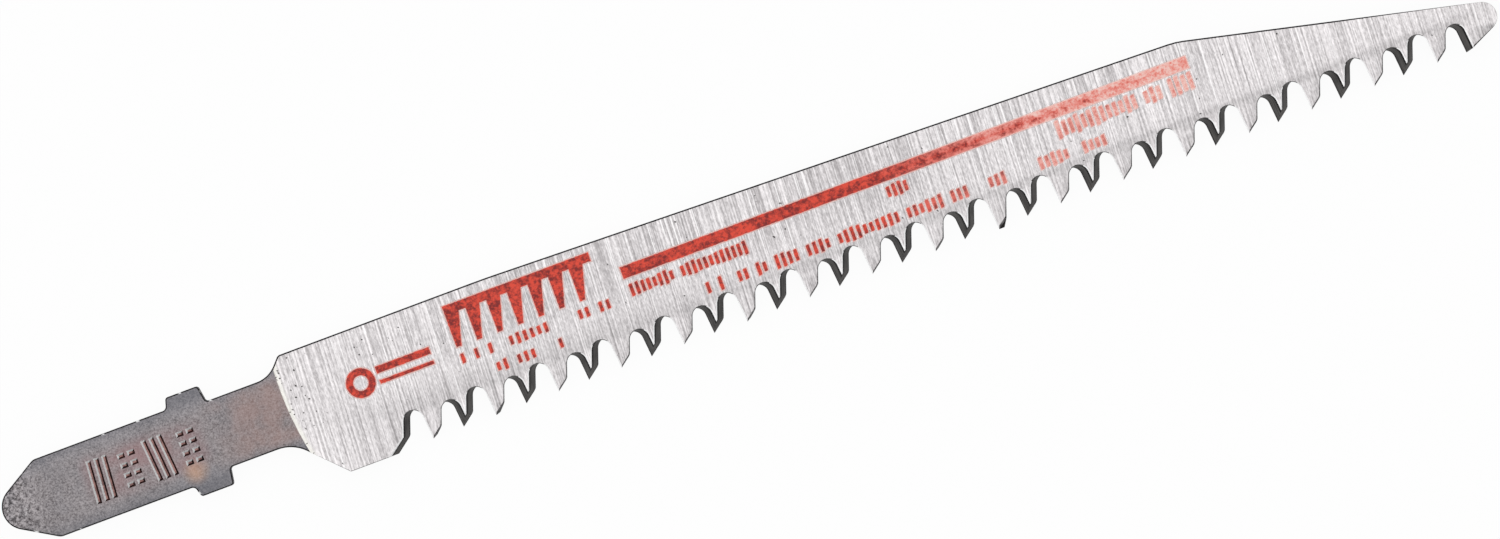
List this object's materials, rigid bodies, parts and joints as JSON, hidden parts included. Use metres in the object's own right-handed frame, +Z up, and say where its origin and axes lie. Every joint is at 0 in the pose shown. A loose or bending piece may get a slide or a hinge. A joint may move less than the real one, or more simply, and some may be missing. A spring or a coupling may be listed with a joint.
{
  "type": "jigsaw blade",
  "caption": "Flat T-shank jigsaw blade: tang with two lugs, taper-ground body, alternately bevelled ground teeth along one edge and a sloped round nose, for clean cuts in wood.",
  "frame": {"origin": "middle of the two lugs, on the centre line of the tang and on the underside of the shank", "axes": "+X along the blade from the tang to the nose, +Y from the teeth to the back, +Z up through the thickness"},
  "size_m": [0.1176, 0.0101, 0.0015],
  "materials": {
    "ground_steel": "ground across the width, with a dull grey blanked shank"
  },
  "bodies": {
    "root": {"blade": "ground_steel"}
  },
  "joints": []
}
